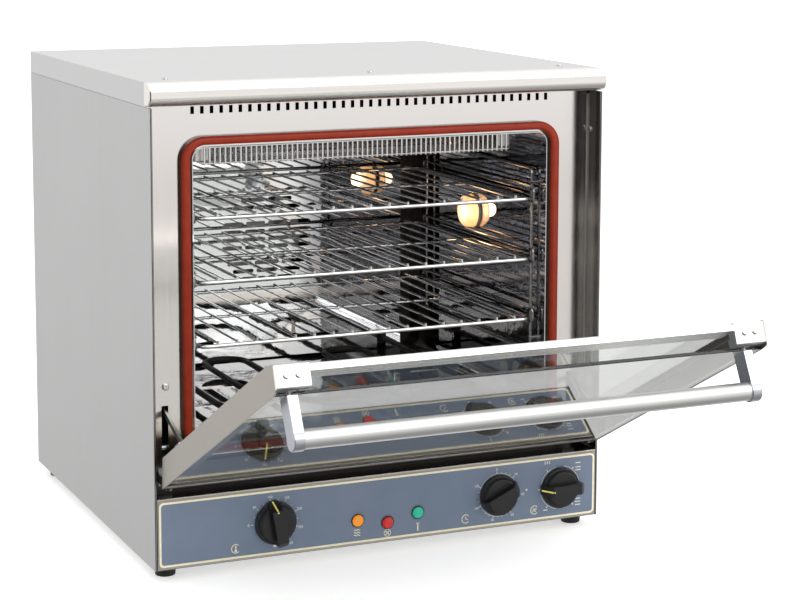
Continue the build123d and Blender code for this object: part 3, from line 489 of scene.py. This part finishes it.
# silicone seal: red-orange face, darker olive towards the frame
seal_mat = Mat("red_silicone", (0.25, 0.030, 0.010), 0.0, 0.46)
seal_mat.set("Specular IOR Level", 0.28)
x, y, z = seal_mat.xyz()
c = seal_mat.noise(60.0, 5.0, 0.65)
f = seal_mat.noise(900.0, 3.0, 0.6)
col = seal_mat.mix(seal_mat.remap(c, 0.3, 0.7, 0.0, 1.0), (0.245, 0.018, 0.005), (0.320, 0.030, 0.008))
root_dark = seal_mat.remap(y, Y(27.0), Y(31.5), 0.0, 1.0, True)
col = seal_mat.mix(seal_mat.math("MULTIPLY", root_dark, 0.86), col, (0.045, 0.034, 0.014))
seal_mat.color(col)
seal_mat.roughness(seal_mat.remap(f, 0.3, 0.7, 0.34, 0.50))
seal_mat.bump(f, 0.08, 0.0002)
seal_mat.bump(c, 0.10, 0.0006)

# printed fascia film: blue grey panel inside a bare steel margin
fascia_mat = Mat("fascia_film", (0.13, 0.16, 0.24), 0.0, 0.34)
x, y, z = fascia_mat.xyz()
inx = fascia_mat.math("LESS_THAN", fascia_mat.math("ABSOLUTE", x), 0.2905)
zlo = fascia_mat.math("GREATER_THAN", z, 0.0198)
zhi = fascia_mat.math("LESS_THAN", z, 0.0955)
inside = fascia_mat.math("MULTIPLY", inx, fascia_mat.math("MULTIPLY", zlo, zhi))
c = fascia_mat.noise(16.0, 4.0, 0.6)
f = fascia_mat.noise(1500.0, 3.0, 0.6)
blue = fascia_mat.mix(fascia_mat.remap(c, 0.3, 0.7, 0.0, 1.0), (0.142, 0.188, 0.268), (0.168, 0.212, 0.300))
blue = fascia_mat.mix(fascia_mat.remap(f, 0.45, 0.8, 0.0, 0.25), blue, (0.21, 0.25, 0.31))
fascia_mat.color(fascia_mat.mix(inside, (0.33, 0.29, 0.25), blue))
fascia_mat.roughness(fascia_mat.math("ADD", fascia_mat.remap(f, 0.3, 0.7, 0.30, 0.40), fascia_mat.remap(c, 0.5, 0.75, 0.0, 0.05)))
fascia_mat.bump(f, 0.04, 0.0001)

print_cream = Mat("print_cream", (0.86, 0.80, 0.56), 0.0, 0.45)
c = print_cream.noise(220.0, 4.0, 0.6)
print_cream.color(print_cream.mix(print_cream.remap(c, 0.3, 0.7, 0.0, 1.0), (0.82, 0.75, 0.50), (0.90, 0.86, 0.66)))
print_cream.roughness(print_cream.remap(c, 0.3, 0.7, 0.40, 0.52))
print_pale = Mat("print_pale", (0.78, 0.79, 0.72), 0.0, 0.5)
c = print_pale.noise(300.0, 4.0, 0.6)
print_pale.color(print_pale.mix(print_pale.remap(c, 0.3, 0.7, 0.0, 1.0), (0.70, 0.72, 0.68), (0.84, 0.85, 0.76)))
print_pale.roughness(print_pale.remap(c, 0.3, 0.7, 0.42, 0.55))
pointer_yellow = Mat("pointer_yellow", (0.86, 0.75, 0.16), 0.0, 0.42)
c = pointer_yellow.noise(400.0, 4.0, 0.6)
pointer_yellow.color(pointer_yellow.mix(pointer_yellow.remap(c, 0.3, 0.7, 0.0, 1.0), (0.74, 0.62, 0.10), (0.92, 0.82, 0.24)))
# the pointer paint is also given a faint painted glow
pointer_yellow.put(pointer_yellow.b.inputs["Emission Color"], pointer_yellow.mix(pointer_yellow.remap(c, 0.3, 0.7, 0.0, 1.0), (0.80, 0.70, 0.14), (0.95, 0.86, 0.30)))
pointer_yellow.set("Emission Strength", 0.22)
pointer_yellow.roughness(pointer_yellow.remap(c, 0.3, 0.7, 0.36, 0.5))

knob_mat = plastic("knob_black", (0.011, 0.011, 0.012), 0.36, 2600.0, 0.06)
feet_mat = plastic("foot_rubber", (0.014, 0.013, 0.013), 0.62, 900.0, 0.12, 0.2)
gland_mat = plastic("gland_nylon", (0.018, 0.018, 0.019), 0.48, 1800.0, 0.06)
device_mat = plastic("device_grey", (0.20, 0.205, 0.21), 0.5, 1500.0, 0.06)
motor_mat = steel("motor_case", (0.22, 0.225, 0.235), 0.5, (200, 200, 200), 0.08, 0.10, 0.1)

ceramic = plastic("ceramic_white", (0.72, 0.69, 0.62), 0.55, 700.0, 0.10, 0.05)
holder_mat = steel("end_holder", (0.80, 0.78, 0.74), 0.34, (300, 300, 300), 0.08, 0.08, 0.05)
chrome = wire("rack_chrome", (0.53, 0.53, 0.54), 0.08)
# the front bars and the upturned rod ends get a painted highlight, a much brighter colour, and are duller in gloss
x, y, z = chrome.xyz()
front_bar_highlight = chrome.math("LESS_THAN", y, Y(50.6))
old = chrome.b.inputs["Base Color"].links[0].from_socket
chrome.color(chrome.mix(front_bar_highlight, old, (0.95, 0.95, 0.94)))
old = chrome.b.inputs["Roughness"].links[0].from_socket
chrome.roughness(chrome.math("ADD", old, chrome.math("MULTIPLY", front_bar_highlight, 0.24)))
guide_wire = wire("guide_chrome", (0.44, 0.43, 0.42), 0.12)
guard_wire = wire("guard_nickel", (0.80, 0.775, 0.76), 0.20, spread=0.08)
heater = Mat("heater_sheath", (0.012, 0.011, 0.010), 0.0, 0.60)
c = heater.noise(70.0, 5.0, 0.7)
f = heater.noise(700.0, 3.0, 0.6)
heater.color(heater.mix(heater.remap(c, 0.3, 0.7, 0.0, 1.0), (0.007, 0.006, 0.006), (0.022, 0.019, 0.017)))
heater.roughness(heater.remap(f, 0.3, 0.7, 0.52, 0.72))
heater.bump(f, 0.12, 0.0002)
bead_mat = plastic("corner_bead", (0.36, 0.345, 0.325), 0.5, 900.0, 0.08, 0.08)
coil_mat = wire("coil_wire", (0.30, 0.27, 0.24), 0.42, 1.0)

wool = Mat("mineral_wool", (0.62, 0.52, 0.28), 0.0, 0.95)
c = wool.noise(160.0, 6.0, 0.75)
f = wool.noise(26.0, 4.0, 0.6)
wool.color(wool.mix(wool.remap(c, 0.25, 0.75, 0.0, 1.0), (0.42, 0.33, 0.16), (0.74, 0.66, 0.40)))
wool.roughness(wool.remap(f, 0.3, 0.7, 0.88, 1.0))
wool.bump(c, 0.8, 0.002)
wool.bump(f, 0.5, 0.004)


def glass(name, tint_and_painted_shade, rough=0.0, ior=1.5, smear=0.02, **kw):
    m = Mat(name, tint_and_painted_shade, 0.0, rough, **kw)
    m.set("Transmission Weight", 1.0)
    m.set("IOR", ior)
    c = m.noise(14.0, 5.0, 0.65, distortion=1.0)
    f = m.noise(3.0, 3.0, 0.5)
    m.color(m.mix(m.remap(f, 0.3, 0.7, 0.0, 1.0), shade(tint_and_painted_shade, 0.985), tint_and_painted_shade))
    m.roughness(m.remap(c, 0.55, 0.85, rough, rough + smear))
    m.bump(f, 0.02, 0.001)
    return m


outer_glass_mat = glass("door_glass_outer", (0.92, 0.93, 0.915), 0.004, 1.52, 0.03)
inner_glass_mat = glass("door_glass_inner", (0.94, 0.96, 0.95), 0.004, 1.22, 0.03)
quartz_mat = glass("quartz_tube", (0.93, 0.93, 0.91), 0.01, 1.46, 0.05)
globe_mat = glass("lamp_globe", (1.0, 0.95, 0.86), 0.42, 1.47, 0.12)
wave = globe_mat.node("ShaderNodeTexWave", {"wave_type": "BANDS", "bands_direction": "Z"}, Scale=90.0, Distortion=0.0)
globe_mat.nt.links.new(globe_mat.coord, wave.inputs["Vector"])
globe_mat.bump(wave.outputs["Fac"], 0.25, 0.0012)
# painted glow on the globe glass for the bulb's light scattered in it: pale at the centre, orange towards the rim
x, y, z = globe_mat.xyz()
dy = globe_mat.math("SUBTRACT", y, Y(243.0))
dz = globe_mat.math("SUBTRACT", z, 0.383)
off = globe_mat.math("SQRT", globe_mat.math("ADD", globe_mat.math("MULTIPLY", dy, dy), globe_mat.math("MULTIPLY", dz, dz)))
globe_mat.put(globe_mat.b.inputs["Emission Color"], globe_mat.mix(globe_mat.remap(off, 0.011, 0.0215, 0.0, 1.0, True), (1.0, 0.84, 0.62), (0.90, 0.40, 0.14)))
globe_mat.set("Emission Strength", 0.33)
globe_mat.set("Transmission Weight", 0.9)

bulb_mat = Mat("bulb_glow", (1.0, 0.86, 0.62), 0.0, 0.35)
c = bulb_mat.noise(120.0, 3.0, 0.5)
bulb_mat.nt.links.new(bulb_mat.mix(bulb_mat.remap(c, 0.3, 0.7, 0.0, 1.0), (1.0, 0.62, 0.27), (1.0, 0.80, 0.50)), bulb_mat.b.inputs["Emission Color"])
bulb_mat.set("Emission Strength", 1.25)


def lens(name, base, glow):
    m = Mat(name, base, 0.0, 0.16)
    m.set("Coat Weight", 0.6)
    m.set("Coat Roughness", 0.06)
    m.set("Subsurface Weight", 0.0)
    v = m.node("ShaderNodeTexVoronoi", {"feature": "F1"}, Scale=900.0, Randomness=0.15)
    m.nt.links.new(m.coord, v.inputs["Vector"])
    c = m.noise(260.0, 3.0, 0.5)
    col = m.mix(m.remap(v.outputs["Distance"], 0.0, 0.7, 0.0, 1.0), shade(base, 1.25), shade(base, 0.62))
    m.color(m.mix(m.remap(c, 0.35, 0.7, 0.0, 0.5), col, shade(base, 0.8)))
    m.nt.links.new(col, m.b.inputs["Emission Color"])
    m.set("Emission Strength", glow)
    m.roughness(m.remap(c, 0.3, 0.7, 0.12, 0.24))
    m.bump(v.outputs["Distance"], 0.25, 0.0004)
    return m


amber = lens("lens_amber", (0.95, 0.30, 0.010), 0.45)
red = lens("lens_red", (0.60, 0.012, 0.010), 0.30)
green = lens("lens_green", (0.010, 0.52, 0.33), 0.30)

USE = {
    "base_pan": base_zinc, "feet": feet_mat, "side_panel_right": side_steel, "side_panel_left": side_steel,
    "rear_panel": rear_steel, "top_cover": lid_steel, "top_nosing": nosing_steel, "front_frame": front_steel,
    "control_housing": housing_steel, "fascia_plate": fascia_mat, "front_screws": screw_steel, "case_screws": screw_steel,
    "cavity_shell": lining, "cavity_rear_wall": rear_wall_mat, "air_baffle": baffle_mat, "baffle_fasteners": screw_steel,
    "insulation_blanket": wool, "door_seal": seal_mat, "quartz_tubes": quartz_mat, "quartz_end_holders": holder_mat,
    "quartz_guard": guard_wire, "bottom_heating_element": heater, "element_supports": front_steel, "ring_heating_element": heater,
    "fan_motor": motor_mat, "fan_shaft": screw_steel, "fan_impeller": cast_alu, "lamp_holder": ceramic, "lamp_glass": globe_mat,
    "lamp_bulb": bulb_mat, "rack_guide_right": guide_wire, "rack_guide_left": guide_wire, "wire_rack_bottom": chrome,
    "wire_rack_middle": chrome, "wire_rack_top": chrome, "thermostat": device_mat, "timer": device_mat,
    "selector_switch": device_mat, "thermostat_probe": screw_steel, "knob_thermostat": knob_mat, "knob_timer": knob_mat,
    "knob_selector": knob_mat, "pilot_lamp_amber": amber, "pilot_lamp_red": red, "pilot_lamp_green": green,
    "cable_gland": gland_mat, "terminal_block": ceramic, "hinge_brackets": hinge_zinc, "door_frame": door_steel,
    "door_outer_glass": outer_glass_mat, "door_inner_glass": inner_glass_mat, "door_top_strip": strip_steel,
    "corner_cap_right": cap_alu, "corner_cap_left": cap_alu, "door_screws": screw_steel, "handle_tube": tube_alu,
    "handle_arm_right": arm_alu, "handle_arm_left": arm_alu, "hinge_link_right": hinge_zinc, "hinge_link_left": hinge_zinc,
}
for name, o in NODES.items():
    m = USE.get(name)
    if m is None:
        continue
    if len(o.data.materials) == 0:
        o.data.materials.append(m.m)
    for i in range(len(o.data.materials)):
        o.data.materials[i] = m.m

# ------------------------------------------------------------------ fascia print
PF, PB = Y(-0.775), Y(-0.66)  # front and back of the printed layer
border = Soup()
border.ring(rounded(-0.2923, 0.2923, 0.0182, 0.0972, 0.0056), rounded(-0.2898, 0.2898, 0.0207, 0.0947, 0.0036), PF, PB)
add("fascia_border", border.v, border.f, print_cream)

KX = (-0.1464, 0.155, 0.2425)
KZ = 0.057


def text_into(soup, body, x, z, height, y0=PF, y1=PB):
    cu = bpy.data.curves.new("t", "FONT")
    cu.body = body
    cu.align_x, cu.align_y = "CENTER", "CENTER"
    cu.size = height * 1.45
    cu.extrude = abs(y1 - y0) / 2
    cu.resolution_u = 3
    o = bpy.data.objects.new("t", cu)
    SCENE.collection.objects.link(o)
    bpy.context.view_layer.update()
    me = bpy.data.meshes.new_from_object(o.evaluated_get(bpy.context.evaluated_depsgraph_get()))
    verts = [(x + v.co.x, (y0 + y1) / 2 - v.co.z, z + v.co.y) for v in me.vertices]
    soup.extend(verts, [list(p.vertices) for p in me.polygons])
    bpy.data.objects.remove(o)
    bpy.data.meshes.remove(me)
    bpy.data.curves.remove(cu)


def polar(cx, cz, r, a):
    a = math.radians(a)
    return cx + r * math.sin(a), cz + r * math.cos(a)


# thermostat dial: 0 to 300
dial = Soup()
cx = KX[0]
A0, A1 = -90.0, 145.0
for i in range(13):
    a = A0 + (A1 - A0) * i / 12
    big = i % 2 == 0
    px, pz = polar(cx, KZ, 0.0290 if big else 0.0286, a)
    dial.prism(bar(px, pz, 0.0022 if big else 0.0014, 0.0009 if big else 0.0007, a), PF, PB)
    if big:
        tx, tz = polar(cx, KZ, 0.0342 if abs(a) > 50 else 0.0328, a)
        text_into(dial, str(25 * i), tx, min(tz, 0.0918), 0.0031)
px, pz = polar(cx, KZ, 0.0292, 180)
dial.prism(bar(px, pz, 0.0022, 0.0050, 180), PF, PB)
add("thermostat_dial_print", dial.v, dial.f, print_pale)

# timer dial: fine ring with ticks and minutes
dial = Soup()
cx = KX[1]
dial.prism(arc_outline(cx, KZ, 0.0276, 0.0281, -70, 250, 72), PF, PB)
for i in range(25):
    a = -5 + 12.5 * i
    big = i % 4 == 0
    px, pz = polar(cx, KZ, 0.0294 if big else 0.0289, a)
    dial.prism(bar(px, pz, 0.0026 if big else 0.0015, 0.0009 if big else 0.0006, a), PF, PB)
    if big:
        tx, tz = polar(cx, KZ, 0.0342 if 20 < (a % 180) < 160 else 0.0330, a)
        text_into(dial, str(20 * (i // 4)), tx, max(min(tz, 0.0918), 0.0235), 0.0031)
add("timer_dial_print", dial.v, dial.f, print_pale)

# selector dial: fine ring, position ticks and plain bar marks
dial = Soup()
cx = KX[2]
dial.prism(arc_outline(cx, KZ, 0.0278, 0.0284, -75, -12, 20), PF, PB)
dial.prism(arc_outline(cx, KZ, 0.0278, 0.0284, 12, 78, 20), PF, PB)
dial.prism(arc_outline(cx, KZ, 0.0278, 0.0284, 102, 168, 20), PF, PB)
dial.prism(arc_outline(cx, KZ, 0.0278, 0.0284, 192, 255, 20), PF, PB)
for i, a in enumerate((-90, -38, 38, 142, 218)):
    px, pz = polar(cx, KZ, 0.0298, a)
    dial.prism(bar(px, pz, 0.0034, 0.0011, a), PF, PB)
for dx, zz in ((0.0262, 0.0868), (0.0262, 0.0812), (0.0262, 0.0775), (0.0262, 0.0395), (0.0262, 0.0355), (0.0262, 0.0315)):
    dial.prism(bar(cx + dx, zz, 0.0078, 0.0011, 90), PF, PB)
for k in range(3):
    dial.prism(bar(cx - 0.0216 + 0.0032 * k, 0.0912, 0.0042, 0.0010, 0), PF, PB)
dial.prism(bar(cx - 0.0205, 0.0292, 0.0062, 0.0011, 90), PF, PB)
add("selector_dial_print", dial.v, dial.f, print_pale)

# plain marks: a ring beside each dial and a small sign under each pilot lamp
marks = Soup()


def ring_mark(cx, cz, r=0.0058):
    marks.prism(arc_outline(cx, cz, r - 0.0009, r, 135, 405, 28), PF, PB)


ring_mark(-0.197, 0.0305)
marks.prism(bar(-0.197, 0.0313, 0.0062, 0.0013, 0), PF, PB)
marks.prism(arc_outline(-0.197, 0.0278, 0.0, 0.0016, -180, 180, 14)[:14], PF, PB)
ring_mark(0.109, 0.0310)
marks.prism(bar(0.109, 0.0325, 0.0036, 0.0008, 0), PF, PB)
marks.prism(bar(0.1103, 0.0303, 0.0032, 0.0008, 118), PF, PB)
ring_mark(0.2062, 0.0312)
for k in range(3):
    marks.prism(bar(0.2045 + 0.0019 * k, 0.0312, 0.0048, 0.0008, 14), PF, PB)
marks.prism(arc_outline(0.1945, 0.059, 0.0, 0.0013, -180, 180, 14)[:14], PF, PB)
for zz in (0.0345, 0.0312, 0.0279):
    n = 14
    top = [(-0.0435 + 0.0085 * i / n, zz + 0.0007 * math.sin(i / n * 4 * math.pi) + 0.0005) for i in range(n + 1)]
    bot = [(-0.0435 + 0.0085 * i / n, zz + 0.0007 * math.sin(i / n * 4 * math.pi) - 0.0005) for i in range(n, -1, -1)]
    marks.prism(top + bot, PF, PB)
for a in (0, 90):
    marks.prism(bar(0.0015, 0.0262, 0.0070, 0.0012, a + 45), PF, PB)
marks.prism(arc_outline(0.0015, 0.0262, 0.0041, 0.0048, -180, 180, 24), PF, PB)
marks.prism(bar(0.0428, 0.0290, 0.0105, 0.0017, 0), PF, PB)
marks.prism(bar(0.0428, 0.0335, 0.0045, 0.0012, 90), PF, PB)
add("fascia_marks", marks.v, marks.f, print_cream)


bez = Soup()
for bx, bz in ((-0.0385, 0.0465), (0.0015, 0.0395), (0.0425, 0.0475)):
    rim_o = [(bx + 0.0084 * math.cos(2 * math.pi * k / 40), bz + 0.0084 * math.sin(2 * math.pi * k / 40)) for k in range(40)]
    rim_i = [(bx + 0.0074 * math.cos(2 * math.pi * k / 40), bz + 0.0074 * math.sin(2 * math.pi * k / 40)) for k in range(40)]
    bez.ring(rim_o, rim_i, Y(-1.9), Y(-0.66))
add("pilot_lamp_bezels", bez.v, bez.f, knob_mat)


def knob_pointer(name, cx, angle, body):
    """Painted line down the sloping end of a grip bar."""
    prof = [(0.01680, 19.6), (0.01800, 19.6), (0.01930, 18.70), (0.02780, 3.05)]
    lifts = [(0.0, 0.0001), (0.00004, 0.0001), (0.0001, 0.00006), (0.0001, 0.00006)]
    a = math.radians(angle)
    ux, uz = math.sin(a), math.cos(a)
    px, pz = uz, -ux
    w = 0.00100
    v, f = [], []
    for (r, h), (lr, lh) in zip(prof, lifts):
        for k in (1.0, -2.0):
            for side in (-1, 1):
                rr, hh = r + lr * k, h / 1000 + lh * k
                v.append((cx + ux * rr + px * w * side, Y(-1.3) - hh, KZ + uz * rr + pz * w * side))
    n = len(prof)
    for k in range(n - 1):
        i, j = 4 * k, 4 * (k + 1)
        f += [[i, i + 1, j + 1, j], [i + 3, i + 2, j + 2, j + 3], [i + 1, i + 3, j + 3, j + 1], [i + 2, i, j, j + 2]]
    f += [[1, 0, 2, 3], [4 * n - 4, 4 * n - 3, 4 * n - 1, 4 * n - 2]]
    add(name, v, f, pointer_yellow, body)


knob_pointer("pointer_thermostat", KX[0], -10.0, "thermostat_knob")
knob_pointer("pointer_selector", KX[2], 269.0, "selector_knob")

# ------------------------------------------------------------------ quartz coils
for k, yy in enumerate((106.0, 150.0)):
    s = Soup()
    turns, per = 150, 10
    path = []
    for i in range(turns * per + 1):
        t = i / (turns * per)
        a = 2 * math.pi * i / per
        path.append((-0.186 + 0.372 * t, Y(yy) + 0.0031 * math.cos(a), 0.4995 + 0.0031 * math.sin(a)))
    s.tube(path, 0.00035, 5)
    add(f"quartz_coil_{k + 1}", s.v, s.f, coil_mat, smooth=True)

# ------------------------------------------------------------------ lamp light
d = bpy.data.lights.new("oven_lamp", "POINT")
d.energy = 0.05
d.color = (1.0, 0.62, 0.30)
d.shadow_soft_size = 0.010
o = bpy.data.objects.new("oven_lamp", d)
SCENE.collection.objects.link(o)
o.location = (0.212, Y(243), 0.383)

# pale beads in the gaps between the front frame and the side panels
for side, sx in (("right", 1), ("left", -1)):
    bd = Soup()
    xa, xb = sorted((sx * 0.29410, sx * 0.29615))
    bd.prism([(xa, 0.1125), (xb, 0.1125), (xb, 0.5590), (xa, 0.5590)], Y(36.1), Y(37.1))
    add("corner_bead_" + side, bd.v, bd.f, bead_mat)
